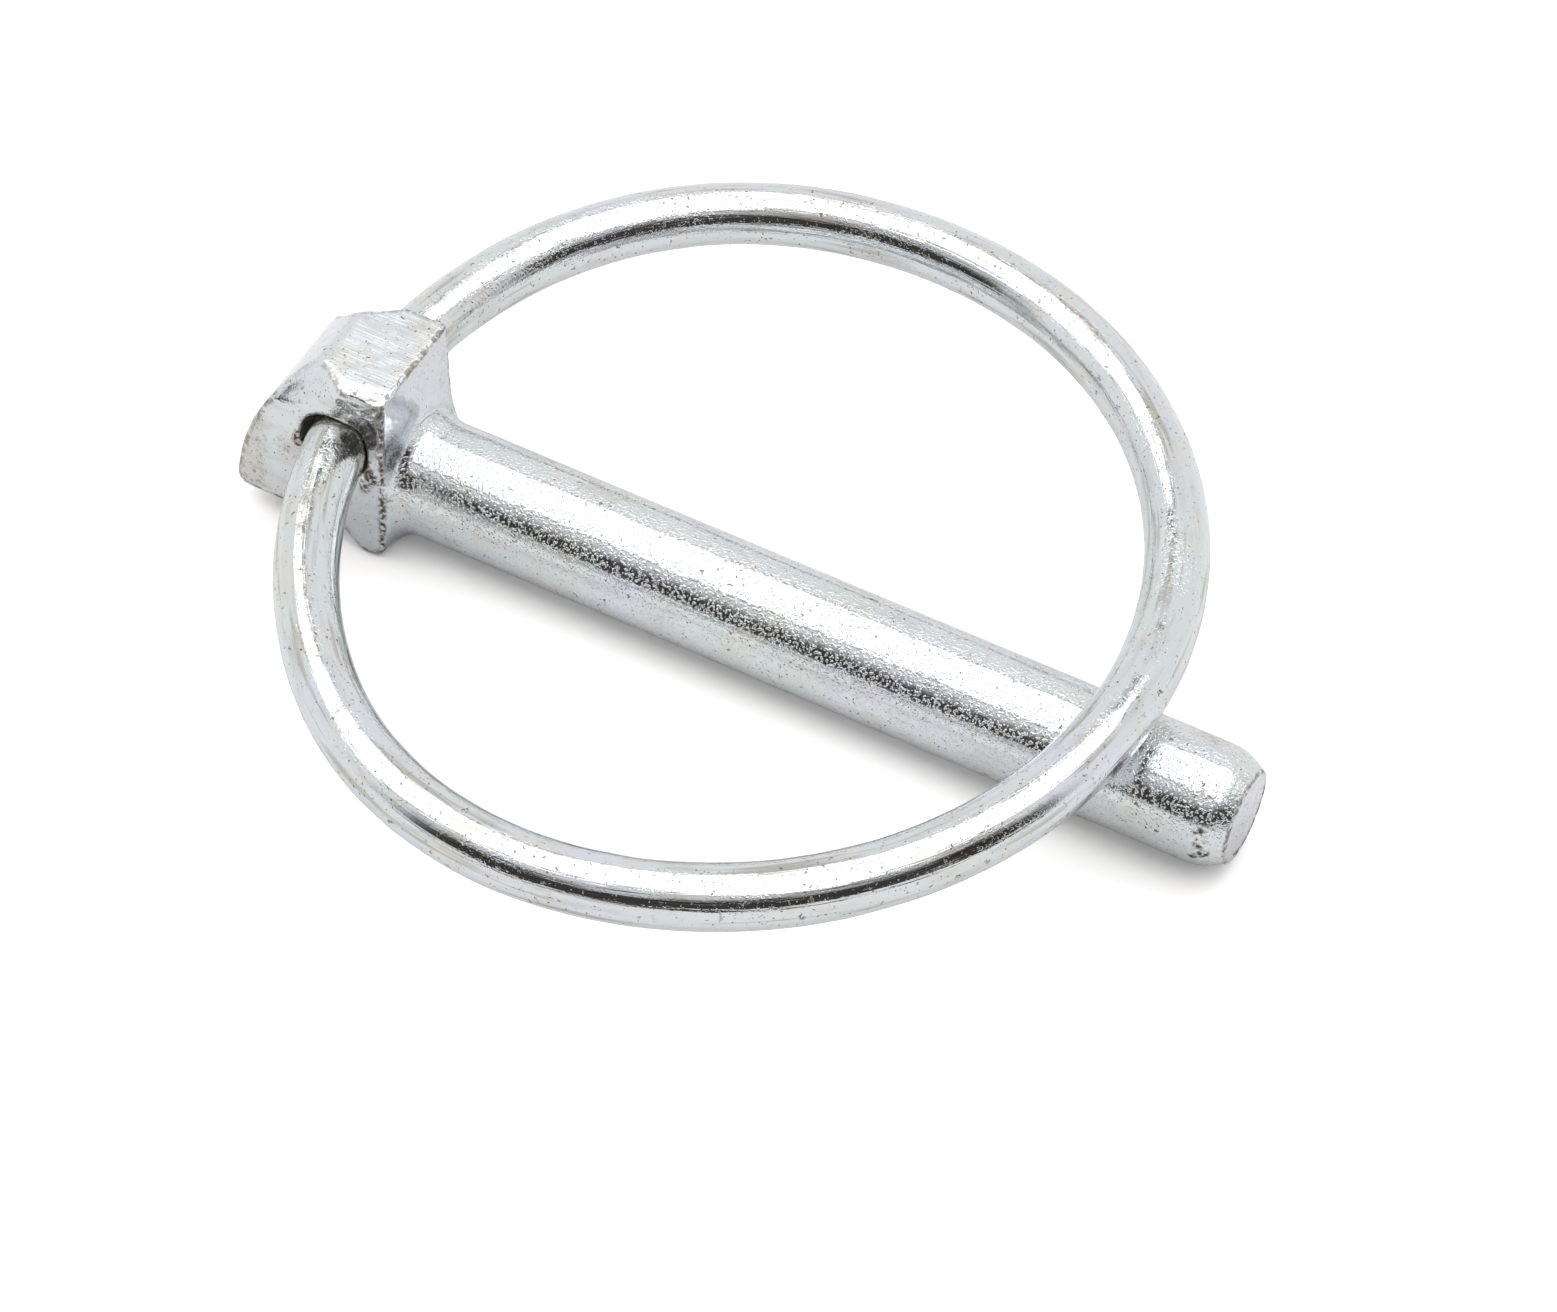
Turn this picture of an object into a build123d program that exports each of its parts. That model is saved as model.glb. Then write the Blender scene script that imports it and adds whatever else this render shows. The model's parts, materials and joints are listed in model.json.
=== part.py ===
from build123d import *
import os
from math import asin, atan2, cos, degrees, radians, sin, sqrt, tan

os.makedirs("parts", exist_ok=True)

# Wire lock pin: a forged pin with a drilled head, and a sprung ring of round wire
# that swings over the pin and shuts across its shaft, close to the tip.
# Frame: origin on the shaft's axis in the plane of the shoulder, +X to the tip, +Z up.

# Shaft
shaft_diameter = 8.0
shaft_length = 59.5
tip_chamfer_length = 1.6
tip_chamfer_depth = 0.9
root_fillet = 1.5

# Ring wire and the oval that it is bent to, measured on the wire's centreline: wider than long,
# widest nearer the head, turned a little askew, and slid along its hole and back in it
wire_diameter = 4.25
ring_width = 58.5
ring_rear_length = 25.9
ring_front_length = 28.9
ring_turn = 12.4
ring_side_shift = 2.0
ring_back_shift = 0.33
ring_seat_gap = 0.12
ring_end_gap = 1.2

# Cross hole through the head
hole_clearance = 0.45
hole_front_wall = 1.075
hole_rise = 0.65

# Head, forged with drafted sides that spread towards its foot, and a ground top
head_lip = 0.7
head_draft = 2.5
head_length = 11.35
crown_wall = 2.775
flat_length = 5.6
rear_radius = 18.0
toe_drop = 0.2
toe_length = 2.0
toe_slope_length = 1.2
underside_rise = 1.6
heel_fillet = 1.2
toe_fillet = 0.8
side_fillet = 0.45

# Hollows that thin the head's two upper rear corners
scallop_radius = 8.8
scallop_from_shoulder = 8.9
scallop_above_top = 3.2
scallop_outside_face = 5.8

# Worked out from the sizes above
shaft_radius = shaft_diameter / 2
wire_radius = wire_diameter / 2
hole_radius = wire_radius + hole_clearance
hole_x = -(hole_front_wall + hole_radius)
hole_z = shaft_radius + hole_rise
head_top = hole_z + hole_radius + crown_wall
foot_z = -(shaft_radius + toe_drop)
underside_z = foot_z + underside_rise
head_spread = tan(radians(head_draft))
foot_width = shaft_diameter + 2 * (head_lip - foot_z * head_spread)
top_width = shaft_diameter + 2 * (head_lip - head_top * head_spread)


# Forged pin: head and shaft in one piece
with BuildPart() as lock_pin:
    # Shaft, turned, with a flare at its root and a chamfer at its tip
    with BuildSketch(Plane.XZ):
        with BuildLine():
            flare_edge = (0, shaft_radius + root_fillet)
            flare_end = (root_fillet, shaft_radius)
            Line((0, 0), flare_edge)
            RadiusArc(flare_edge, flare_end, -root_fillet)
            Polyline(
                flare_end,
                (shaft_length - tip_chamfer_length, shaft_radius),
                (shaft_length, shaft_radius - tip_chamfer_depth),
                (shaft_length, 0),
                (0, 0),
            )
        make_face()
    revolve(axis=Axis.X)

    # Head, from its side profile
    with BuildSketch(Plane.XZ) as profile:
        with BuildLine():
            crest = (-flat_length, head_top)
            heel = (-head_length, underside_z)
            RadiusArc(heel, crest, rear_radius)
            Polyline(
                crest,
                (0, head_top),
                (0, foot_z),
                (-toe_length, foot_z),
                (-toe_length - toe_slope_length, underside_z),
                heel,
            )
        make_face()
        heel_corner = profile.vertices().sort_by(Axis.X)[0]
        fillet(heel_corner, heel_fillet)
        toe_corner = profile.vertices().group_by(Axis.Y)[0].sort_by(Axis.X)[0]
        fillet(toe_corner, toe_fillet)
    extrude(amount=foot_width, both=True)

    # The head and the shaft's flare stop at the drafted sides and the foot
    with BuildSketch(Plane.YZ):
        with Locations((0, (head_top + foot_z) / 2)):
            Trapezoid(foot_width, head_top - foot_z, 90 - head_draft)
    extrude(amount=shaft_length, both=True, mode=Mode.INTERSECT)

    # Side edges of the rear face and the underside, softened by the forging
    side_edges = lock_pin.edges().filter_by(lambda edge: abs(edge.center().Y) > shaft_radius)
    fillet(side_edges.filter_by(lambda edge: edge.center().X < -flat_length), side_fillet)

    # Hollows on the upper rear corners
    scallop_y = top_width / 2 + scallop_outside_face
    with Locations(
        (-scallop_from_shoulder, -scallop_y, head_top + scallop_above_top),
        (-scallop_from_shoulder, scallop_y, head_top + scallop_above_top),
    ):
        Sphere(scallop_radius, mode=Mode.SUBTRACT)

    # Cross hole for the ring's two ends
    with BuildSketch(Plane.XZ):
        with Locations((hole_x, hole_z)):
            Circle(hole_radius)
    extrude(amount=foot_width, both=True, mode=Mode.SUBTRACT)

lock_pin.part.label = "lock_pin"
export_step(lock_pin.part, "parts/lock_pin.step")


# Ring, bent from one length of wire to an oval of arcs that run into each other
def oval_half(length, half_width):
    """Radii of the end and flank arcs of half an oval, and half the sweep of its end arc."""
    end_radius = half_width**2 / length
    flank_radius = length * (length + half_width) / (2 * half_width)
    end_sweep = atan2(length * (2 * half_width + length), 2 * half_width * (length + half_width))
    return end_radius, flank_radius, degrees(end_sweep)


half_width = ring_width / 2
ring_rear_radius, rear_flank, rear_sweep = oval_half(ring_rear_length, half_width)
ring_front_radius, front_flank, front_sweep = oval_half(ring_front_length, half_width)
end_gap_sweep = degrees(asin(ring_end_gap / 2 / ring_rear_radius))

# Centres of its arcs along its own middle line, from the rear arc's centre
middle = ring_rear_length - ring_rear_radius
front_centre = middle + ring_front_length - ring_front_radius

# It leans up from the hole until it rests over the shaft, where its front arc crosses it
rear_centre_x = ring_rear_radius - ring_back_shift
crossing_side = ring_side_shift + front_centre * sin(radians(ring_turn))
crossing_x = rear_centre_x + front_centre * cos(radians(ring_turn))
ring_seat_x = crossing_x + sqrt(ring_front_radius**2 - crossing_side**2)
ring_seat_z = shaft_radius + ring_seat_gap + wire_radius
ring_tilt = degrees(asin((ring_seat_z - hole_z) / ring_seat_x))

ring_plane = Plane(origin=(hole_x, 0, hole_z)).rotated((0, -ring_tilt, 0))
oval_plane = Plane(
    origin=ring_plane.from_local_coords((rear_centre_x, ring_side_shift, 0)),
    x_dir=ring_plane.x_dir,
    z_dir=ring_plane.z_dir,
).rotated((0, 0, ring_turn))

with BuildPart() as wire_ring:
    with BuildLine(oval_plane) as path:
        far_sweep = rear_sweep - ring_turn - end_gap_sweep
        near_sweep = rear_sweep + ring_turn - end_gap_sweep
        CenterArc((0, 0), ring_rear_radius, 180 - rear_sweep + far_sweep, -far_sweep)
        CenterArc((middle, half_width - rear_flank), rear_flank, 180 - rear_sweep, rear_sweep - 90)
        CenterArc((middle, half_width - front_flank), front_flank, 90, front_sweep - 90)
        CenterArc((front_centre, 0), ring_front_radius, front_sweep, -2 * front_sweep)
        CenterArc((middle, front_flank - half_width), front_flank, -front_sweep, front_sweep - 90)
        CenterArc((middle, rear_flank - half_width), rear_flank, -90, rear_sweep - 90)
        CenterArc((0, 0), ring_rear_radius, rear_sweep - 180, -near_sweep)
    ring_wire = path.wire()
    with BuildSketch(Plane(origin=ring_wire @ 0, z_dir=ring_wire % 0)):
        Circle(wire_radius)
    sweep(path=ring_wire)

wire_ring.part.label = "wire_ring"
export_step(wire_ring.part, "parts/wire_ring.step")
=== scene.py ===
import json
import math
from functools import reduce

import bpy
import numpy as np
from mathutils import Matrix, Vector, noise


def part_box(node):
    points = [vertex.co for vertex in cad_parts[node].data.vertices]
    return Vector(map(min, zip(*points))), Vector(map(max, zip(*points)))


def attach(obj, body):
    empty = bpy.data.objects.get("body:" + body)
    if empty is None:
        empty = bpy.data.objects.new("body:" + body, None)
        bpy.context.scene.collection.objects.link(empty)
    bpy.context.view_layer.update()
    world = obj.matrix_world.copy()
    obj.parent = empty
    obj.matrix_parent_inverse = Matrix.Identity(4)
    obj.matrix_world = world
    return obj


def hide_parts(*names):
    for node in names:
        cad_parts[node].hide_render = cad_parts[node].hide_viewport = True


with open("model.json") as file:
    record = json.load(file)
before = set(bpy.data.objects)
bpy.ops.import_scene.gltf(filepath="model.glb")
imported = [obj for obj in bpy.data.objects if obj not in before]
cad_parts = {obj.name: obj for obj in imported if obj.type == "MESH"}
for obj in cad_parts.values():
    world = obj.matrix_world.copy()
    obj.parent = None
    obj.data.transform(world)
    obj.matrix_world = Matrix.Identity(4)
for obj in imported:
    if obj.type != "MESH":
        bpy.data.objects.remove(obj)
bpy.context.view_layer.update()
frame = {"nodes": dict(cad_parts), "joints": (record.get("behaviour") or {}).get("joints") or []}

# Lengths below are in millimetres, and are scaled to metres where Blender takes them
MM = 0.001

# Sizes that the frame gives
pin_low, pin_high = (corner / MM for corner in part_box("lock_pin"))
pivot = Vector(frame["joints"][0]["pos_m"]) / MM
head_back = pin_low.x
head_top = pin_high.z
foot = pin_low.z
tip = pin_high.x

# Sizes of the pin that its box doesn't give
SHAFT_RADIUS = 4.0
SHAFT_START = -1.0
CHAMFER_LENGTH = 1.6
CHAMFER_DEPTH = 0.9
HOLE_RADIUS = 2.575
FLAT_LENGTH = 5.6
REAR_RADIUS = 18.0
UNDERSIDE_RISE = 1.6
TOE_LENGTH = 2.0
TOE_SLOPE = 1.2
SIDE_DRAFT = math.tan(math.radians(2.5))
SIDE_AT_AXIS = 4.7
SCALLOP_RADIUS = 8.8
SCALLOP_ALONG = -8.9
SCALLOP_OUT_OF_SIDE = 5.8
SCALLOP_ABOVE_TOP = 3.2

# The visible hole is this much smaller in radius than the solid's
HOLE_SKIN = 0.08

# How wide the rounding of each edge is
ROOT_ROUNDING = 1.9
SHOULDER_ROUNDING = 0.28
REAR_ROUNDING = 0.45
SIDE_ROUNDING = 0.45
BASE_ROUNDING = 1.1
TOE_ROUNDING = 0.9
UNDERSIDE_ROUNDING = 0.8
FOOT_ROUNDING = 0.3
SCALLOP_ROUNDING = 0.35
HOLE_ROUNDING = 0.14
CHAMFER_ROUNDING = 0.5
TIP_ROUNDING = 0.15
DENT_ROUNDING = 0.2
BURR_ROUNDING = 0.2
GROOVE_ROUNDING = 0.1

# Marks on the head's near side: dents and torn burrs, each a centre and three radii, and a torn groove
DENTS = (
    ((-1.55, -4.72, 7.0), (1.35, 0.7, 1.75)),
    ((-1.75, -5.05, 10.25), (1.75, 0.95, 0.95)),
    ((-7.4, -4.95, 5.4), (2.2, 0.62, 2.0)),
)
BURRS = (
    ((-0.85, -4.5, 3.2), (0.45, 0.3, 0.75)),
    ((-1.3, -4.58, 2.2), (0.4, 0.25, 0.6)),
    ((-6.3, -4.5, 4.0), (0.4, 0.3, 0.7)),
)
GROOVE = ((-3.0, -4.42, 8.85), (-1.8, -4.45, 8.45), (-0.65, -4.42, 9.1), (-0.05, -4.4, 9.8))
GROOVE_RADIUS = 0.26

# Chips on the tip's near side and a rusty smear on its far side, each a centre and a radius
CHIPS = (
    ((tip - 1.7, -3.7, 1.5), 0.45),
    ((tip - 1.5, -3.95, 0.6), 0.5),
    ((tip - 1.2, -3.78, -0.3), 0.5),
    ((tip - 1.8, -3.95, -0.7), 0.4),
)
SMEAR_CENTRE = (tip - 3.6, 2.3, 3.25)
SMEAR_RADIUS = 1.5

# The top's near edge is rolled down from here, along a wavy line, where the surface faces up at least so much
ROLLED_FROM = -2.9
ROLLED_SLOPE = 0.1
ROLLED_WAVES = 8
ROLLED_DEPTH = 0.4
ROLLED_FACING = 0.7

# Stains: the hole's rim on its left and low, the rim of the tip low on its far side, and the toe's edges
HEAD_FRONT = 0.1
RIM_LEFT_OF = -5.6
RIM_BELOW = 4.6
RIM_STAIN, RIM_STAIN_ELSEWHERE = 0.55, 0.1
TIP_RIM_BELOW = 0.3
TIP_RIM_BEYOND = -1.5
TIP_RIM_DEPTH = 0.07
TOE_EDGE_REAR, TOE_EDGE_FRONT = -4.0, 0.3
TOE_EDGE_SIDE = 3.9
TOE_EDGE_HEIGHT = 0.2
# Each burr's stain spreads to this size of the burr, and the shoulder edge's is a little inside the edge
BURR_SPREAD = 1.35
BURR_FADE = 0.12
SHOULDER_EDGE_INSET = 0.05

# Other marks: the ground top, the shoulder clear of the shaft, the rear clear of the near side, the heel, the
# places left of the hole and in its two mouths, and the tip's chamfer and end face
TOP_DEPTH = 0.15
SHOULDER_CLEARANCE = 0.8
SHOULDER_LEAST = 0.3
REAR_INSET = 1.0
HEEL_START, HEEL_END = -8.2, -9.4
LEFT_OF_HOLE_X, LEFT_OF_HOLE_Z = -7.0, 2.8
MOUTH_FROM_MIDDLE = 1.5
CHAMFER_FADE = 0.3
END_FACE_DEPTH = 0.1
# How dull, tinted and brushed the plate is there
SMEAR_DULLNESS = 0.8
LEFT_OF_HOLE_DULLNESS = 0.8
HEEL_DULLNESS = 0.6
SHOULDER_TINT = 0.5
REAR_TINT = 0.6
CHAMFER_BRUSHING = 0.6
# The plate is worn on edges from this sharpness to this, as one over their radius
WORN_FROM, WORN_FULL = 0.9, 2.3
# Grain of the pin's plate: full from here along the shaft, less on the head, where its rough places add some
# and the shoulder has less, and least on the ground top
SHAFT_GRAIN_FROM = 0.4
HEAD_GRAIN = 0.25
ROUGH_GRAIN = 0.6
SHOULDER_SMOOTHING = 0.85
TOP_GRAIN = 0.06
# Grain of the wire's plate, what its patches add, and their size
WIRE_GRAIN = 0.1
WIRE_PATCH_GRAIN = 0.35
WIRE_PATCH_CELL = 6.0

# Cell of the pin's mesh, which gives it under 200,000 triangles
PIN_CELL = 0.17

# Relief of each surface, as noises with a cell, a depth and a seed, each seed that far along in the noise
SEED_SHIFT = (7.31, 3.17, 5.53)
PIN_RELIEF = ((3.2, 0.07, 1), (1.1, 0.03, 2))
WIRE_RELIEF = ((5.0, 0.05, 3), (1.6, 0.012, 4))
# The pin's relief fades along the shaft as if to end here, and stays at this share of the head's
RELIEF_FADE = 2.0
SHAFT_SHARE = 0.25
# The ground top, down to this depth, has this share of it
TOP_SHARE_DEPTH = 0.1
TOP_SHARE = 0.4

# The ring's sizes, on its centreline: an oval of arcs, turned askew in its own plane
WIRE_RADIUS = 2.125
RING_WIDTH = 58.5
RING_REAR_LENGTH = 25.9
RING_FRONT_LENGTH = 28.9
RING_TURN = math.radians(12.4)
RING_SIDE_SHIFT = 2.0
RING_BACK_SHIFT = 0.33
RING_SEAT_GAP = 0.12
RING_END_GAP = 1.2
RING_STEPS = 1100
WIRE_SIDES = 60
# How far the wire stays inside the solid's true round, because the CAD box is taken from its facets
RING_SKIN = 0.015
# The ends stand this high in the hole, and the wire comes down to its plane between these distances from them
END_LIFT = 0.2
LIFT_FULL_TO = 5.4
LIFT_GONE_AT = 14.4


# Distances from the pin's surface, below 0 inside it
def smooth_max(a, b, rounding):
    """The larger of two distances, with the crease between them rounded."""
    share = np.clip(0.5 + 0.5 * (a - b) / rounding, 0, 1)
    return b + (a - b) * share + rounding * share * (1 - share)


def smooth_min(a, b, rounding):
    return -smooth_max(-a, -b, rounding)


def line_distance(x, z, start, end):
    """Distance outside the line from start to end in the side view, with the solid on its right."""
    run, rise = end[0] - start[0], end[1] - start[1]
    return ((z - start[1]) * run - (x - start[0]) * rise) / math.hypot(run, rise)


def distance_to(points, centre):
    return np.linalg.norm(points - np.array(centre), axis=1)


def ball_distance(points, centre, radii):
    """Distance outside an ellipsoid, near enough for small dents."""
    scaled = (points - np.array(centre)) / np.array(radii)
    return (np.linalg.norm(scaled, axis=1) - 1) * min(radii)


def rod_distance(points, start, end, radius):
    """Distance outside a round rod with round ends."""
    start, end = np.array(start), np.array(end)
    share = np.clip((points - start) @ (end - start) / ((end - start) @ (end - start)), 0, 1)
    return np.linalg.norm(points - start - share[:, None] * (end - start), axis=1) - radius


def groove_rods(points, radius):
    """Distances outside the straight stretches of the groove."""
    return [rod_distance(points, start, end, radius) for start, end in zip(GROOVE, GROOVE[1:])]


def from_shaft_axis(points):
    return np.hypot(points[:, 1], points[:, 2])


def from_pivot_axis(points):
    return np.hypot(points[:, 0] - pivot.x, points[:, 2] - pivot.z)


def side_at(z):
    """How far the head's sides are from its middle, which is less towards the top by their draft."""
    return SIDE_AT_AXIS - z * SIDE_DRAFT


def shaft_distance(points):
    x = points[:, 0]
    round_side = from_shaft_axis(points) - SHAFT_RADIUS
    chamfer = (x - tip + CHAMFER_LENGTH) * CHAMFER_DEPTH + round_side * CHAMFER_LENGTH
    chamfer /= math.hypot(CHAMFER_LENGTH, CHAMFER_DEPTH)
    solid = smooth_max(round_side, chamfer, CHAMFER_ROUNDING)
    solid = smooth_max(solid, x - tip, TIP_ROUNDING)
    return np.maximum(solid, SHAFT_START - x)


def head_distance(points):
    """Distance outside the head's side view: a flat top, an arc down the rear to the heel, and the toe."""
    x, z = points[:, 0], points[:, 2]
    underside = foot + UNDERSIDE_RISE
    crest, heel = np.array([-FLAT_LENGTH, head_top]), np.array([head_back, underside])
    chord = crest - heel
    half_chord = np.linalg.norm(chord) / 2
    inward = np.array([chord[1], -chord[0]]) / (2 * half_chord)
    centre = (crest + heel) / 2 + inward * math.sqrt(REAR_RADIUS**2 - half_chord**2)
    rear = np.hypot(x - centre[0], z - centre[1]) - REAR_RADIUS
    slope = line_distance(x, z, (-TOE_LENGTH, foot), (-TOE_LENGTH - TOE_SLOPE, underside))
    toe = smooth_max(foot - z, slope, TOE_ROUNDING)
    base = smooth_min(underside - z, toe, UNDERSIDE_ROUNDING)
    solid = smooth_max(z - head_top, x, SHOULDER_ROUNDING)
    solid = smooth_max(solid, rear, REAR_ROUNDING)
    return smooth_max(solid, base, BASE_ROUNDING)


def pin_distance(points):
    y, z = points[:, 1], points[:, 2]
    solid = smooth_min(head_distance(points), shaft_distance(points), ROOT_ROUNDING)
    solid = smooth_max(solid, np.abs(y) - side_at(z), SIDE_ROUNDING)
    solid = smooth_max(solid, foot - z, FOOT_ROUNDING)
    scallop_side = side_at(head_top) + SCALLOP_OUT_OF_SIDE
    for side in (-1, 1):
        centre = (SCALLOP_ALONG, side * scallop_side, head_top + SCALLOP_ABOVE_TOP)
        solid = smooth_max(solid, SCALLOP_RADIUS - distance_to(points, centre), SCALLOP_ROUNDING)
    for centre, radii in DENTS:
        solid = smooth_max(solid, -ball_distance(points, centre, radii), DENT_ROUNDING)
    for rod in groove_rods(points, GROOVE_RADIUS):
        solid = smooth_max(solid, -rod, GROOVE_ROUNDING)
    for centre, radii in BURRS:
        solid = smooth_min(solid, ball_distance(points, centre, radii), BURR_ROUNDING)
    return smooth_max(solid, HOLE_RADIUS - HOLE_SKIN - from_pivot_axis(points), HOLE_ROUNDING)


# Work on points and meshes
def shifts(step):
    """A step along each axis."""
    return np.eye(3) * step


def slopes(distance, points, step=0.02):
    """Gradient of a distance, by central differences."""
    columns = [(distance(points + shift) - distance(points - shift)) / (2 * step) for shift in shifts(step)]
    return np.stack(columns, axis=1)


def unit(vectors, least=0.01):
    return vectors / np.maximum(np.linalg.norm(vectors, axis=1), least)[:, None]


def bending(distance, points, step=0.15):
    """How convex the surface is at each point, as the sum of one over its radii: below 0 in a hollow."""
    total = -6 * distance(points)
    for shift in shifts(step):
        total += distance(points + shift) + distance(points - shift)
    return total / step**2


def settle(distance, points, rounds=5, longest=0.3, flattest=0.1):
    """Moves points onto the surface where a distance is nought, by no more than longest in a round."""
    for _ in range(rounds):
        slope = slopes(distance, points)
        steepness = np.maximum((slope**2).sum(1), flattest)
        points = points - np.clip(distance(points) / steepness, -longest, longest)[:, None] * slope
    return points


def noise_values(points, cell, seed):
    """Smooth noise at each point, from -1 to 1, with cells of so many millimetres."""
    shift = Vector([seed * part for part in SEED_SHIFT])
    return np.array([noise.noise(Vector(point) / cell + shift) for point in points])


def relief_at(points, noises):
    return sum(noise_values(points, cell, seed) * depth for cell, depth, seed in noises)


def ramp(values, start, end):
    """0 before start, 1 after end, and straight between them."""
    return np.clip((values - start) / (end - start), 0, 1)


def band(values, middle, reach, strength=1.0):
    """A mark round a middle value, which falls to 0 at reach from it and is 1 at most."""
    return np.clip(strength * np.clip(1 - np.abs(values - middle) / reach, 0, 1), 0, 1)


def read_points(mesh):
    points = np.empty(len(mesh.vertices) * 3)
    mesh.vertices.foreach_get("co", points)
    return points.reshape(-1, 3)


def set_values(mesh, name, values):
    """Keeps one number for each point of a mesh, for its material to read."""
    layer = mesh.attributes.new(name, "FLOAT", "POINT")
    layer.data.foreach_set("value", values.astype(np.float32))


def even_mesh(node, cell):
    """An evenly spaced quad mesh over a CAD node, in millimetres."""
    mesh = frame["nodes"][node].data.copy()
    mesh.transform(Matrix.Scale(1 / MM, 4))
    holder = bpy.data.objects.new(node + "_even", mesh)
    bpy.context.scene.collection.objects.link(holder)
    remesh = holder.modifiers.new("even", "REMESH")
    remesh.mode = "VOXEL"
    remesh.voxel_size = cell
    view = holder.evaluated_get(bpy.context.evaluated_depsgraph_get())
    result = bpy.data.meshes.new_from_object(view)
    bpy.data.objects.remove(holder)
    return result


def finish_piece(name, mesh, material, body, node):
    """Shades a mesh smooth, gives it its material and seats it on its body in place of its node."""
    mesh.materials.clear()
    mesh.materials.append(material)
    mesh.polygons.foreach_set("use_smooth", [True] * len(mesh.polygons))
    mesh.update()
    piece = bpy.data.objects.new(name, mesh)
    bpy.context.scene.collection.objects.link(piece)
    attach(piece, body)
    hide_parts(node)
    return piece


# Nodes of a material or of the world, where a value is a socket or a number
def new_material(name):
    material = bpy.data.materials.new(name)
    material.use_nodes = True
    material.node_tree.nodes.clear()
    return material, material.node_tree


def add(tree, kind, **values):
    """Adds a node and sets its properties, or its inputs where the name is an input's."""
    node = tree.nodes.new(kind)
    for key, value in values.items():
        if key in node.inputs:
            node.inputs[key].default_value = value
        else:
            setattr(node, key, value)
    return node


def maths(tree, operation, *values):
    node = add(tree, "ShaderNodeMath", operation=operation)
    for socket, value in zip(node.inputs, values):
        if isinstance(value, (int, float)):
            socket.default_value = value
        else:
            tree.links.new(value, socket)
    return node.outputs[0]


def plus(tree, *values):
    return reduce(lambda first, second: maths(tree, "ADD", first, second), values)


def minus(tree, first, second):
    return maths(tree, "SUBTRACT", first, second)


def times(tree, *values):
    return reduce(lambda first, second: maths(tree, "MULTIPLY", first, second), values)


def most(tree, *values):
    return reduce(lambda first, second: maths(tree, "MAXIMUM", first, second), values)


def between(tree, value, low, high, to_low=0.0, to_high=1.0):
    """Maps a value's range from low..high to to_low..to_high, and holds it there."""
    node = add(tree, "ShaderNodeMapRange")
    node.interpolation_type = "SMOOTHSTEP"
    for socket, number in zip(("From Min", "From Max", "To Min", "To Max"), (low, high, to_low, to_high)):
        node.inputs[socket].default_value = number
    tree.links.new(value, node.inputs["Value"])
    return node.outputs["Result"]


def blended(tree, share, first, second):
    """Mixes two colours, each given as a socket or as numbers."""
    node = add(tree, "ShaderNodeMix", data_type="RGBA")
    tree.links.new(share, node.inputs[0])
    for socket, colour in ((node.inputs[6], first), (node.inputs[7], second)):
        if isinstance(colour, tuple):
            socket.default_value = (*colour, 1)
        else:
            tree.links.new(colour, socket)
    return node.outputs[2]


def coated(tree, colour, mask, coat, share):
    """Lays a coat over a colour where a mask says, with so much of it at most."""
    return blended(tree, times(tree, mask, share), colour, coat)


def noise_at(tree, coords, cells, detail, drawn=1.0):
    """Noise with so many cells to a millimetre, and only a drawn share of them along the piece."""
    mapping = add(tree, "ShaderNodeMapping", Scale=[share * cells / MM for share in (drawn, 1, 1)])
    tree.links.new(coords, mapping.inputs["Vector"])
    texture = add(tree, "ShaderNodeTexNoise", Scale=1.0, Detail=detail, Roughness=0.55)
    tree.links.new(mapping.outputs["Vector"], texture.inputs["Vector"])
    return texture.outputs["Fac"]


def read_value(tree, name):
    return add(tree, "ShaderNodeAttribute", attribute_name=name).outputs["Fac"]


# Zinc plate: its colours
PALE = (0.70, 0.735, 0.75)
VIOLET = (0.72, 0.735, 0.80)
GREENISH = (0.69, 0.735, 0.73)
TORN = (0.12, 0.085, 0.06)

# Its coats, each a colour and the share that it has of the whole at most
WARM, WARM_SHARE = (0.73, 0.71, 0.65), 0.45
DULL, DULL_SHARE = (0.60, 0.54, 0.46), 0.7
# Dark lines along the wire: painted reflections of the softbox's frame, and the wire's draw lines
FRAME_REFLECTION_LINE, FRAME_REFLECTION_LINE_SHARE = (0.36, 0.32, 0.26), 0.6
PIT, PIT_SHARE = (0.13, 0.11, 0.09), 0.8
WORN, WORN_SHARE = (0.25, 0.20, 0.15), 0.75
FILM, FILM_SHARE, FILM_SHARE_MORE_IN_DULL = (0.48, 0.46, 0.43), 0.4, 0.6

# Its patterns, each from noise: cells to a millimetre, detail, the share of the cells along the piece,
# and the noise at which the pattern starts and is full
PATTERNS = {
    "violet": (0.09, 3, 1, 0.50, 0.70),
    "green": (0.11, 2, 1, 0.50, 0.70),
    "warm": (0.35, 4, 1, 0.48, 0.66),
    "film": (1.1, 5, 0.25, 0.48, 0.75),
    # Painted reflections of the softbox's frame along the wire, and its draw lines
    "frame reflection lines": (1.7, 4, 0.06, 0.54, 0.68),
    "patches": (0.35, 3, 1, 0.42, 0.62),
    "specks": (2.6, 2, 1, 0.655, 0.70),
    "dots": (4.6, 1, 1, 0.70, 0.75),
    "dull specks": (3.0, 3, 1, 0.56, 0.66),
    "broken": (2.2, 4, 1, 0.44, 0.58),
    "torn": (3.0, 3, 1, 0.42, 0.56),
    "smears": (0.9, 4, 1, 0.30, 0.75),
    "grain": (5.0, 1, 1, 0.50, 0.68),
}

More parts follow.
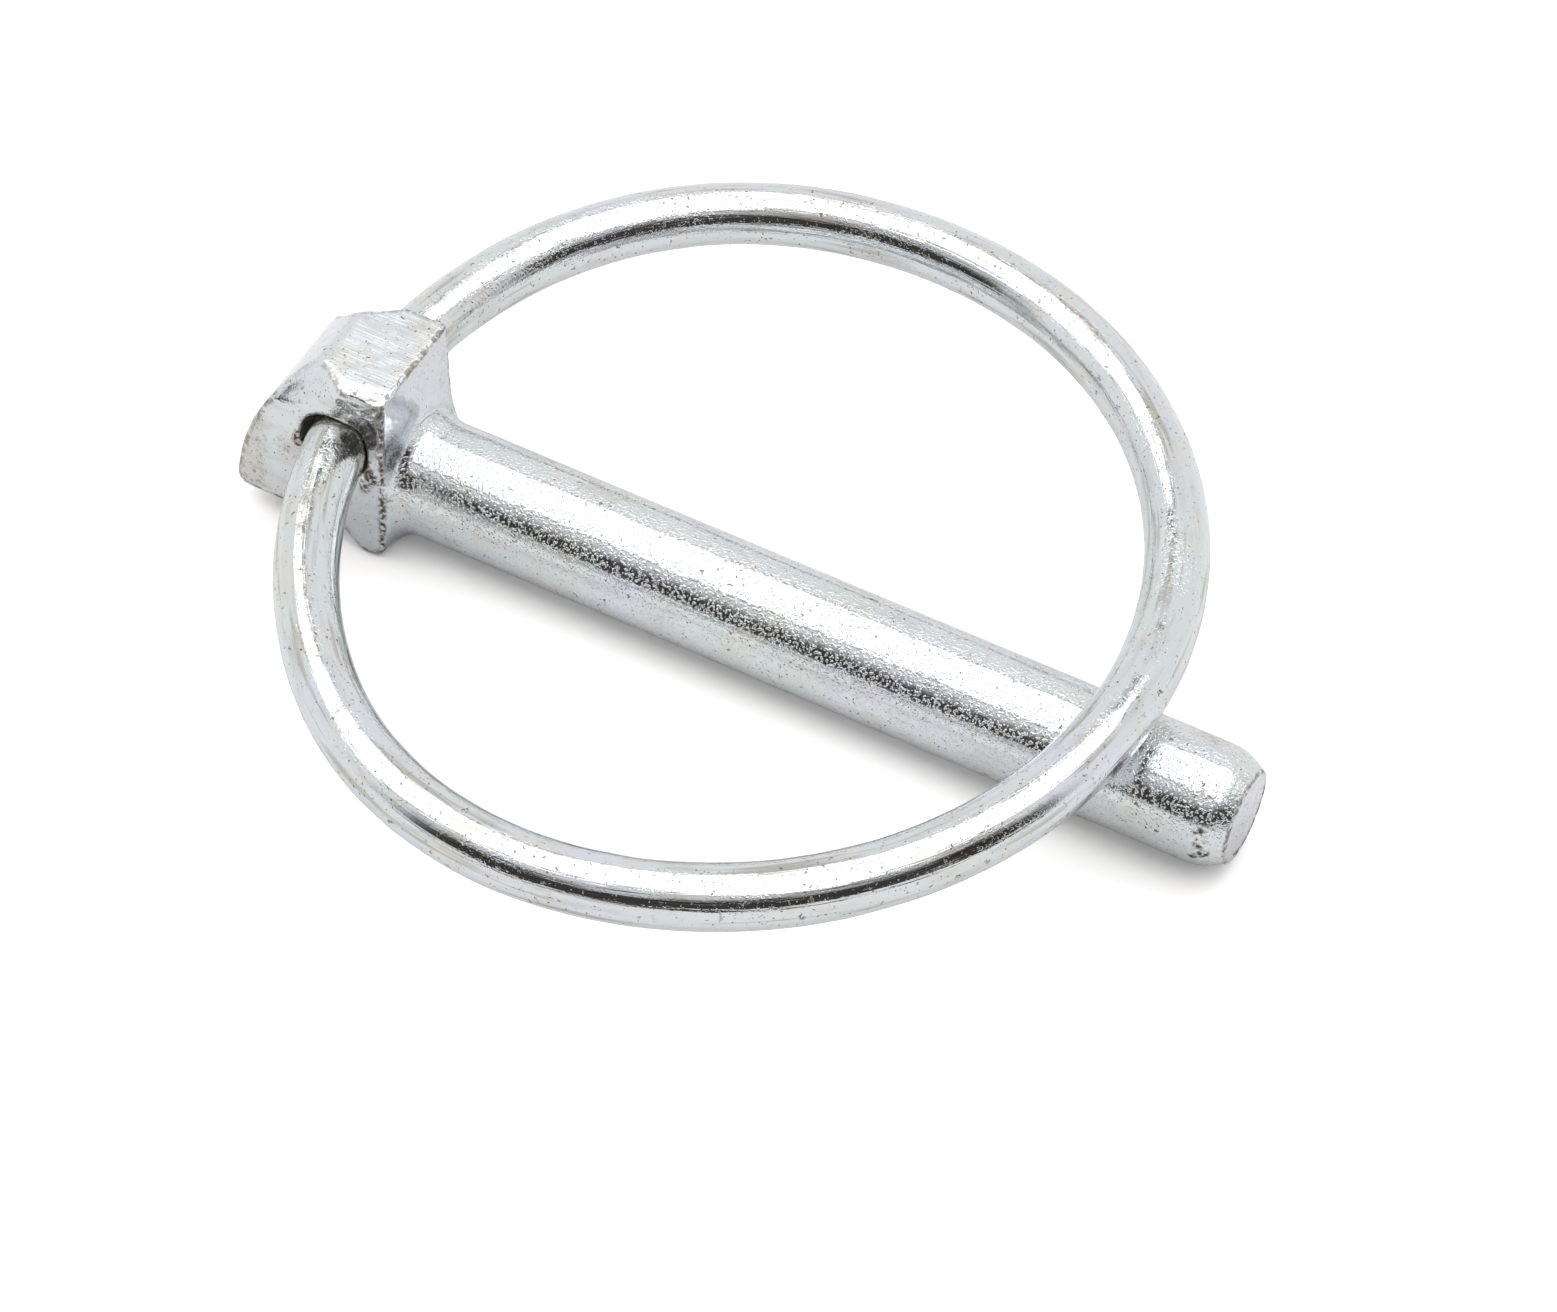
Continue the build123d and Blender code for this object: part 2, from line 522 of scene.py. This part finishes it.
# Its relief: the bump's depth, the noises of its peel and its lines, and each part's height as a share of it
BUMP_DEPTH = 0.1
PEEL_CELLS, LINE_CELLS = 0.9, 5.0
LINE_DRAWN = 0.03
RELIEF_DETAIL = 2
PEEL_HEIGHT = 0.08
PEEL_HEIGHT_MORE_IN_GRAIN = 0.2
GRAIN_HEIGHT = 0.24
BRUSHED_HEIGHT = 0.12
DIRT_DEPTH = 0.35

# What dirt and brushing add to its roughness
DIRT_ROUGHNESS = 0.35
BRUSHED_ROUGHNESS = 0.1

# The values that a mesh keeps for it
MARKS = ("wear", "stain", "grain", "brushed", "dull", "tinted")


def pattern(tree, coords, name, low=0.0, high=1.0):
    """One of the plate's patterns, from low where it is missing to high where it is full."""
    cells, detail, drawn, start, full = PATTERNS[name]
    return between(tree, noise_at(tree, coords, cells, detail, drawn), start, full, low, high)


def plate_dirt(tree, coords, marks):
    """Masks of the plate's pits, of its worn edges and of torn steel."""
    patches = most(tree, pattern(tree, coords, "patches"), marks["dull"])
    specks = times(tree, pattern(tree, coords, "specks"), patches)
    dull_specks = times(tree, pattern(tree, coords, "dull specks"), marks["dull"])
    pits = most(tree, specks, pattern(tree, coords, "dots"), dull_specks)
    edges = times(tree, marks["wear"], pattern(tree, coords, "broken"))
    torn = times(tree, marks["stain"], pattern(tree, coords, "torn"))
    return pits, edges, torn


def plate_colour(tree, coords, marks, dirt, with_frame_reflection_lines):
    """Pale metal with faint tints, a brown film, dark lines along drawn wire that are painted reflections of
    the softbox's frame as well as draw lines, and dirt.
    """
    violet = most(tree, pattern(tree, coords, "violet"), marks["tinted"])
    colour = blended(tree, violet, PALE, VIOLET)
    colour = blended(tree, pattern(tree, coords, "green"), colour, GREENISH)
    colour = coated(tree, colour, pattern(tree, coords, "warm"), WARM, WARM_SHARE)
    film_share = plus(tree, times(tree, marks["dull"], FILM_SHARE_MORE_IN_DULL), FILM_SHARE)
    film = times(tree, pattern(tree, coords, "film"), film_share)
    colour = blended(tree, film, colour, FILM)
    colour = coated(tree, colour, marks["dull"], DULL, DULL_SHARE)
    # On drawn wire, dark lines along it: painted reflections of the softbox's frame as well as draw lines
    if with_frame_reflection_lines:
        colour = coated(tree, colour, pattern(tree, coords, "frame reflection lines"), FRAME_REFLECTION_LINE, FRAME_REFLECTION_LINE_SHARE)
    pits, edges, torn = dirt
    colour = coated(tree, colour, pits, PIT, PIT_SHARE)
    colour = coated(tree, colour, edges, WORN, WORN_SHARE)
    return blended(tree, torn, colour, TORN)


def plate_height(tree, coords, marks, dirty, peel_drawn, line_height):
    """A soft peel, a fine grain and lines along the piece, with the dirt sunk in them."""
    peel_height = plus(tree, times(tree, marks["grain"], PEEL_HEIGHT_MORE_IN_GRAIN), PEEL_HEIGHT)
    peel = times(tree, noise_at(tree, coords, PEEL_CELLS, RELIEF_DETAIL, peel_drawn), peel_height)
    grain = times(tree, pattern(tree, coords, "grain"), times(tree, marks["grain"], GRAIN_HEIGHT))
    all_lines_height = plus(tree, times(tree, marks["brushed"], BRUSHED_HEIGHT), line_height)
    lines = times(tree, noise_at(tree, coords, LINE_CELLS, RELIEF_DETAIL, LINE_DRAWN), all_lines_height)
    return minus(tree, plus(tree, peel, grain, lines), times(tree, dirty, DIRT_DEPTH))


def zinc(name, place, peel_drawn, line_height, roughness):
    """Bright zinc plate.

    place gives the socket for where a point is, peel_drawn the share of the peel's cells along the piece,
    line_height the height of its drawn lines, with 0 for a forging, and roughness the lowest and highest
    of the clean plate.
    """
    material, tree = new_material(name)
    coords = place(tree)
    marks = {key: read_value(tree, key) for key in MARKS}
    dirt = plate_dirt(tree, coords, marks)
    dirty = most(tree, *dirt)

    smears = pattern(tree, coords, "smears", *roughness)
    from_dirt = times(tree, most(tree, dirty, marks["dull"]), DIRT_ROUGHNESS)
    rough = plus(tree, smears, from_dirt, times(tree, marks["brushed"], BRUSHED_ROUGHNESS))

    bump = add(tree, "ShaderNodeBump", Strength=1.0, Distance=BUMP_DEPTH * MM)
    height = plate_height(tree, coords, marks, dirty, peel_drawn, line_height)
    tree.links.new(height, bump.inputs["Height"])

    shader = add(tree, "ShaderNodeBsdfPrincipled", Metallic=1.0)
    output = add(tree, "ShaderNodeOutputMaterial")
    # Pieces with drawn lines also get the painted frame reflection lines in their colour
    colour = plate_colour(tree, coords, marks, dirt, with_frame_reflection_lines=line_height > 0)
    tree.links.new(colour, shader.inputs["Base Color"])
    tree.links.new(rough, shader.inputs["Roughness"])
    tree.links.new(bump.outputs["Normal"], shader.inputs["Normal"])
    tree.links.new(shader.outputs[0], output.inputs["Surface"])
    return material


def place_in_space(tree):
    return add(tree, "ShaderNodeTexCoord").outputs["Object"]


def place_on_wire(tree):
    return add(tree, "ShaderNodeAttribute", attribute_name="wire").outputs["Vector"]


# Pin
def inside_near_side(points):
    """How deep a point is behind the head's near side."""
    return points[:, 1] + side_at(points[:, 2])


def on_near_side(points):
    return band(inside_near_side(points), 0, reach=0.45) * (points[:, 0] < HEAD_FRONT)


def pin_stain(points):
    """Where the plate is torn off and the steel is brown: burrs, groove, chips and broken edges."""
    x, y, z = points.T
    hole_rim = band(from_pivot_axis(points), HOLE_RADIUS, reach=0.3) * on_near_side(points)
    left_or_low = (x < RIM_LEFT_OF) | (z < RIM_BELOW)
    stains = [hole_rim * np.where(left_or_low, RIM_STAIN, RIM_STAIN_ELSEWHERE)]

    for centre, radii in BURRS:
        spread = ball_distance(points, centre, np.array(radii) * BURR_SPREAD)
        stains.append(ramp(-spread, 0, BURR_FADE))
    for rod in groove_rods(points, 0):
        stains.append(band(rod, 0, reach=0.36, strength=2))
    for centre, radius in CHIPS:
        stains.append(band(distance_to(points, centre), 0, reach=radius, strength=2.6))

    side_depth = inside_near_side(points)
    from_shoulder_edge = np.hypot(x + SHOULDER_EDGE_INSET, side_depth - SHOULDER_EDGE_INSET)
    stains.append(band(from_shoulder_edge, 0, reach=0.36, strength=1.6))

    from_tip_rim = np.hypot(x - tip, from_shaft_axis(points) - SHAFT_RADIUS + CHAMFER_DEPTH)
    burred = (z < TIP_RIM_BELOW) & (y > TIP_RIM_BEYOND) & (x > tip - TIP_RIM_DEPTH)
    burred_rim = band(from_tip_rim, 0, reach=0.8, strength=2.6)
    clean_rim = band(from_tip_rim, 0, reach=0.25, strength=0.4)
    stains.append(np.where(burred, burred_rim, clean_rim))

    at_toe = (x > TOE_EDGE_REAR) & (x < TOE_EDGE_FRONT) & (np.abs(y) > TOE_EDGE_SIDE)
    stains.append(band(z, foot + TOE_EDGE_HEIGHT, reach=0.35, strength=0.8) * at_toe)
    return np.maximum.reduce(stains)


def pin_marks(points):
    """The plate's marks on the pin, as numbers from 0 to 1."""
    x, y, z = points.T
    near_side = on_near_side(points)
    top = (z > head_top - TOP_DEPTH) & (x < 0)
    shoulder = band(x, 0, reach=0.25) * (from_shaft_axis(points) > SHAFT_RADIUS + SHOULDER_CLEARANCE)
    rear = (x < -FLAT_LENGTH) * (inside_near_side(points) > REAR_INSET)
    heel = ramp(x, HEEL_START, HEEL_END)
    left_of_hole = band(x, LEFT_OF_HOLE_X, reach=1.6) * band(z, LEFT_OF_HOLE_Z, reach=2.2) * near_side
    bore = band(from_pivot_axis(points), HOLE_RADIUS - HOLE_SKIN, reach=0.2)
    mouths = bore * (np.abs(y) > MOUTH_FROM_MIDDLE)
    smear = band(distance_to(points, SMEAR_CENTRE), 0, reach=SMEAR_RADIUS)
    chamfer_start = tip - CHAMFER_LENGTH
    chamfer = ramp(x, chamfer_start, chamfer_start + CHAMFER_FADE)

    head_grain = HEAD_GRAIN + ROUGH_GRAIN * np.maximum(heel, left_of_hole)
    grain = np.where(x > SHAFT_GRAIN_FROM, 1, head_grain) * (1 - SHOULDER_SMOOTHING * shoulder)
    dullness = (
        mouths,
        SMEAR_DULLNESS * smear,
        LEFT_OF_HOLE_DULLNESS * left_of_hole,
        HEEL_DULLNESS * heel * near_side,
    )
    tints = (x > tip - END_FACE_DEPTH, SHOULDER_TINT * (shoulder > SHOULDER_LEAST), REAR_TINT * rear)
    return {
        "wear": ramp(bending(pin_distance, points), WORN_FROM, WORN_FULL),
        "stain": pin_stain(points),
        "grain": np.where(top, TOP_GRAIN, grain),
        "brushed": np.maximum(top, CHAMFER_BRUSHING * chamfer),
        "dull": np.maximum.reduce(dullness),
        "tinted": np.maximum.reduce(tints),
    }


def build_pin():
    mesh = even_mesh("lock_pin", PIN_CELL)
    points = settle(pin_distance, read_points(mesh))
    normal = unit(slopes(pin_distance, points))
    relief = relief_at(points, PIN_RELIEF)
    share = np.maximum(ramp(points[:, 0], RELIEF_FADE, 0), SHAFT_SHARE)
    share *= np.where(points[:, 2] > head_top - TOP_SHARE_DEPTH, TOP_SHARE, 1)
    points = points - normal * (np.abs(relief) * share)[:, None]
    past_roll = np.clip(ROLLED_FROM - points[:, 1] + relief * ROLLED_WAVES, 0, None)
    on_top = (points[:, 2] > head_top - ROLLED_DEPTH) & (normal[:, 2] > ROLLED_FACING)
    points[:, 2] -= past_roll * on_top * ROLLED_SLOPE
    mesh.vertices.foreach_set("co", (points * MM).ravel())
    for name, values in pin_marks(points).items():
        set_values(mesh, name, values)
    material = zinc("plated_pin", place_in_space, peel_drawn=0.7, line_height=0.0, roughness=(0.08, 0.17))
    return finish_piece("forged_pin", mesh, material, "pin", "lock_pin")


# Ring
def oval_half(length, half_width):
    """Radii of the end and flank arcs of half an oval, and half the sweep of its end arc."""
    end_radius = half_width**2 / length
    flank_radius = length * (length + half_width) / (2 * half_width)
    sweep = math.atan2(length * (2 * half_width + length), 2 * half_width * (length + half_width))
    return end_radius, flank_radius, sweep


def oval_line(count):
    """Points along the ring's centreline, their outward directions, and the upward one of its plane."""
    half_width = RING_WIDTH / 2
    rear_radius, rear_flank, rear_sweep = oval_half(RING_REAR_LENGTH, half_width)
    front_radius, front_flank, front_sweep = oval_half(RING_FRONT_LENGTH, half_width)
    middle = RING_REAR_LENGTH - rear_radius
    front_centre = middle + RING_FRONT_LENGTH - front_radius
    turn_cos, turn_sin = math.cos(RING_TURN), math.sin(RING_TURN)

    # The ring's plane is tilted up from the pivot until its front rests on the shaft
    rear_centre = rear_radius - RING_BACK_SHIFT
    crossing = RING_SIDE_SHIFT + front_centre * turn_sin
    seat_x = rear_centre + front_centre * turn_cos + math.sqrt(front_radius**2 - crossing**2)
    tilt = math.asin((SHAFT_RADIUS + RING_SEAT_GAP + WIRE_RADIUS - pivot.z) / seat_x)
    along = np.array([math.cos(tilt), 0, math.sin(tilt)])
    up = np.array([-math.sin(tilt), 0, math.cos(tilt)])
    side = np.array([0, 1, 0])

    # Angles in the oval's own plane, from one end of the wire round the front to the other
    gap = math.asin(RING_END_GAP / 2 / rear_radius)
    angles = math.pi - RING_TURN - np.linspace(gap, 2 * math.pi - gap, count)
    own = (angles + math.pi) % (2 * math.pi) - math.pi
    reach, half = np.abs(own), np.sign(own)
    rear, rearward, front = reach > math.pi - rear_sweep, reach > math.pi / 2, reach < front_sweep
    radius = np.select([rear, rearward, front], [rear_radius, rear_flank, front_radius], front_flank)
    centre_u = np.select([rear, front], [0, front_centre], middle)
    centre_v = np.where(rear | front, 0, half * (half_width - radius))
    u = centre_u + radius * np.cos(own)
    v = centre_v + radius * np.sin(own)

    run = rear_centre + u * turn_cos - v * turn_sin
    across = RING_SIDE_SHIFT + u * turn_sin + v * turn_cos
    line = np.array(pivot) + run[:, None] * along + across[:, None] * side
    outward = np.cos(own + RING_TURN)[:, None] * along + np.sin(own + RING_TURN)[:, None] * side
    return line, outward, up


def tube_faces(steps, sides):
    """Quads round a tube of points, and a face on each end."""
    faces = [
        (i * sides + j, i * sides + (j + 1) % sides, (i + 1) * sides + (j + 1) % sides, (i + 1) * sides + j)
        for i in range(steps - 1)
        for j in range(sides)
    ]
    faces.append(tuple(range(sides))[::-1])
    faces.append(tuple((steps - 1) * sides + j for j in range(sides)))
    return faces


def build_ring():
    line, outward, up = oval_line(RING_STEPS)
    steps = np.linalg.norm(np.diff(line, axis=0), axis=1)
    along = np.concatenate([[0], np.cumsum(steps)])
    from_end = np.minimum(along, along[-1] - along)
    line = line + up * (END_LIFT * (1 - ramp(from_end, LIFT_FULL_TO, LIFT_GONE_AT)))[:, None]

    turns = np.arange(WIRE_SIDES) * 2 * math.pi / WIRE_SIDES
    radial = outward[:, None, :] * np.cos(turns)[None, :, None] + up * np.sin(turns)[None, :, None]
    points = (line[:, None, :] + radial * WIRE_RADIUS).reshape(-1, 3)
    inward = np.abs(relief_at(points, WIRE_RELIEF)) + RING_SKIN
    points = points - radial.reshape(-1, 3) * inward[:, None]
    mesh = bpy.data.meshes.new("wire")
    mesh.from_pydata((points * MM).tolist(), [], tube_faces(RING_STEPS, WIRE_SIDES))

    # Where each point is on the straightened wire, so that the plate's lines follow it
    wire = np.empty((RING_STEPS, WIRE_SIDES, 3))
    wire[:, :, 0] = along[:, None]
    wire[:, :, 1] = WIRE_RADIUS * np.cos(turns)
    wire[:, :, 2] = WIRE_RADIUS * np.sin(turns)
    layer = mesh.attributes.new("wire", "FLOAT_VECTOR", "POINT")
    layer.data.foreach_set("vector", (wire * MM).astype(np.float32).ravel())

    rough_patches = np.clip(noise_values(points, WIRE_PATCH_CELL, 5) * 2, 0, 1)
    grain = WIRE_GRAIN + WIRE_PATCH_GRAIN * rough_patches
    plain = np.zeros(len(points))
    for name in MARKS:
        set_values(mesh, name, grain if name == "grain" else plain)
    material = zinc("plated_wire", place_on_wire, peel_drawn=0.2, line_height=0.2, roughness=(0.06, 0.14))
    return finish_piece("oval_ring", mesh, material, "ring", "wire_ring")


# Floor, white to the camera and pale in reflections, with the object's shadow and a painted contact shadow
FLOOR_SIZE = 3000
FLOOR_SEEN = (0.98, 0.965, 0.95, 1)
FLOOR_REFLECTED = (0.82, 0.82, 0.82, 1)
FLOOR_LIT = (0.8, 0.8, 0.8, 1)
# A glow keeps the open floor white, and is less where the object is this close and hides so much of the view,
# which paints a contact shadow
PAINTED_SHADOW_REACH = 3
HIDDEN, OPEN = 0.2, 0.8
GLOW_IN_PAINTED_SHADOW, GLOW_IN_THE_OPEN = 0.1, 0.3


def build_floor():
    bpy.ops.mesh.primitive_plane_add(size=FLOOR_SIZE * MM, location=(0, 0, foot * MM))
    floor = bpy.context.object
    floor.name = "floor"
    material, tree = new_material("floor")
    path = add(tree, "ShaderNodeLightPath")
    lit = add(tree, "ShaderNodeBsdfDiffuse", Color=FLOOR_LIT)
    reflected = add(tree, "ShaderNodeBsdfDiffuse", Color=FLOOR_REFLECTED)
    seen = add(tree, "ShaderNodeBsdfDiffuse", Color=FLOOR_SEEN)
    # Ambient occlusion lowers the floor's glow next to the object: a painted contact shadow
    openness_for_painted_shadow = add(tree, "ShaderNodeAmbientOcclusion", Distance=PAINTED_SHADOW_REACH * MM).outputs["AO"]
    glow = add(tree, "ShaderNodeEmission", Color=(1, 1, 1, 1))
    strength = between(tree, openness_for_painted_shadow, HIDDEN, OPEN, GLOW_IN_PAINTED_SHADOW, GLOW_IN_THE_OPEN)
    tree.links.new(strength, glow.inputs["Strength"])

    seen_glowing = add(tree, "ShaderNodeAddShader")
    tree.links.new(seen.outputs[0], seen_glowing.inputs[0])
    tree.links.new(glow.outputs[0], seen_glowing.inputs[1])
    indirect = add(tree, "ShaderNodeMixShader")
    tree.links.new(path.outputs["Is Glossy Ray"], indirect.inputs[0])
    tree.links.new(lit.outputs[0], indirect.inputs[1])
    tree.links.new(reflected.outputs[0], indirect.inputs[2])
    surface = add(tree, "ShaderNodeMixShader")
    tree.links.new(path.outputs["Is Camera Ray"], surface.inputs[0])
    tree.links.new(indirect.outputs[0], surface.inputs[1])
    tree.links.new(seen_glowing.outputs[0], surface.inputs[2])
    output = add(tree, "ShaderNodeOutputMaterial")
    tree.links.new(surface.outputs[0], output.inputs["Surface"])
    floor.data.materials.append(material)


# Studio: a bright softbox overhead with a thin dark frame, a pale surround, and a dark gap low in front
SURROUND_BEHIND = (0.95, 0.95, 0.955)
SURROUND_IN_FRONT = (0.88, 0.88, 0.89)
GAP_COLOUR = (0.052, 0.046, 0.04)
FRAME_COLOUR, FRAME_SHARE = (0.10, 0.085, 0.07), 0.9
SOFTBOX_COLOUR = (2.0, 2.0, 2.0)
WHITE = (1.0, 1.0, 1.0)
# The softbox's edges, in a plane one unit overhead
SOFTBOX_LEFT, SOFTBOX_RIGHT = -1.3, 0.7
SOFTBOX_FRONT, SOFTBOX_BACK = -0.5, 0.68
SOFTBOX_FADE = 0.03
FRAME_FROM, FRAME_TO = 0.07, 0.10
# The gap faces this way, and fades over these heights, as sines of the elevation
GAP_X, GAP_Y = 0.45, 0.9
GAP_FACING = (0.1, 0.45)
GAP_BOTTOM = (0.06, 0.16)
GAP_TOP = (0.50, 0.82)


def outside_softbox(tree, place, low, high):
    """How far a place in the softbox's plane is outside its edges, along one axis."""
    middle, half = (low + high) / 2, (high - low) / 2
    return minus(tree, maths(tree, "ABSOLUTE", minus(tree, place, middle)), half)


def build_surround():
    world = bpy.data.worlds.new("surround")
    bpy.context.scene.world = world
    world.use_nodes = True
    tree = world.node_tree
    tree.nodes.clear()
    parts = add(tree, "ShaderNodeSeparateXYZ")
    tree.links.new(add(tree, "ShaderNodeTexCoord").outputs["Generated"], parts.inputs[0])
    x, y, height = (parts.outputs[axis] for axis in "XYZ")

    frontness = minus(tree, times(tree, x, GAP_X), times(tree, y, GAP_Y))
    facing = between(tree, frontness, *GAP_FACING)
    above_bottom = between(tree, height, *GAP_BOTTOM)
    below_top = between(tree, height, *GAP_TOP, 1.0, 0.0)
    gap = times(tree, above_bottom, below_top, facing)
    colour = blended(tree, facing, SURROUND_BEHIND, SURROUND_IN_FRONT)
    colour = blended(tree, gap, colour, GAP_COLOUR)

    lowest = 0.01
    level = most(tree, height, lowest)
    outside_x = outside_softbox(tree, maths(tree, "DIVIDE", x, level), SOFTBOX_LEFT, SOFTBOX_RIGHT)
    outside_y = outside_softbox(tree, maths(tree, "DIVIDE", y, level), SOFTBOX_FRONT, SOFTBOX_BACK)
    outside = most(tree, outside_x, outside_y)
    frame_line = between(tree, outside, FRAME_FROM, FRAME_TO, 1.0, 0.0)
    colour = coated(tree, colour, frame_line, FRAME_COLOUR, FRAME_SHARE)
    inside = between(tree, outside, 0.0, SOFTBOX_FADE, 1.0, 0.0)
    colour = blended(tree, inside, colour, SOFTBOX_COLOUR)

    path = add(tree, "ShaderNodeLightPath")
    colour = blended(tree, path.outputs["Is Camera Ray"], colour, WHITE)
    background = add(tree, "ShaderNodeBackground", Strength=1.0)
    output = add(tree, "ShaderNodeOutputWorld")
    tree.links.new(colour, background.inputs["Color"])
    tree.links.new(background.outputs[0], output.inputs["Surface"])


def towards(azimuth, elevation):
    """Direction at these angles in degrees; azimuth 0 is in front of the part, towards -Y."""
    turn, rise = math.radians(azimuth), math.radians(elevation)
    return Vector((math.sin(turn) * math.cos(rise), -math.cos(turn) * math.cos(rise), math.sin(rise)))


def add_lamp(name, azimuth, elevation, distance, size, power):
    """A soft round lamp aimed at the middle of the shaft."""
    away = towards(azimuth, elevation)
    lamp = bpy.data.lights.new(name, "AREA")
    lamp.shape = "DISK"
    lamp.size = size * MM
    lamp.energy = power
    holder = bpy.data.objects.new(name, lamp)
    bpy.context.scene.collection.objects.link(holder)
    holder.location = (Vector((tip / 2, 0, 0)) + away * distance) * MM
    holder.rotation_mode = "QUATERNION"
    holder.rotation_quaternion = away.to_track_quat("Z", "Y")


# Camera, at the photo's angle
CAMERA_TARGET = Vector((27.97, -2.58, 0))
CAMERA_AZIMUTH = 26.2
CAMERA_ELEVATION = 49.97
CAMERA_ROLL = math.radians(2.28)
CAMERA_DISTANCE = 328.01
CAMERA_LENS = 119.24
CAMERA_SENSOR = 36


def build_camera():
    azimuth = math.radians(CAMERA_AZIMUTH)
    back = towards(CAMERA_AZIMUTH, CAMERA_ELEVATION)
    level = Vector((math.cos(azimuth), math.sin(azimuth), 0))
    right = level * math.cos(CAMERA_ROLL) + back.cross(level) * math.sin(CAMERA_ROLL)
    top = back.cross(right)
    data = bpy.data.cameras.new("camera")
    data.lens = CAMERA_LENS
    data.sensor_width = CAMERA_SENSOR
    data.clip_start, data.clip_end = 0.01, 20
    camera = bpy.data.objects.new("camera", data)
    bpy.context.scene.collection.objects.link(camera)
    turn = Matrix([[right[i], top[i], back[i]] for i in range(3)]).to_4x4()
    camera.matrix_world = Matrix.Translation((CAMERA_TARGET + back * CAMERA_DISTANCE) * MM) @ turn
    bpy.context.scene.camera = camera


build_pin()
build_ring()
build_floor()
build_surround()
add_lamp("key", azimuth=150, elevation=60, distance=800, size=300, power=0.25)
build_camera()

bpy.context.scene.view_settings.view_transform = "Standard"
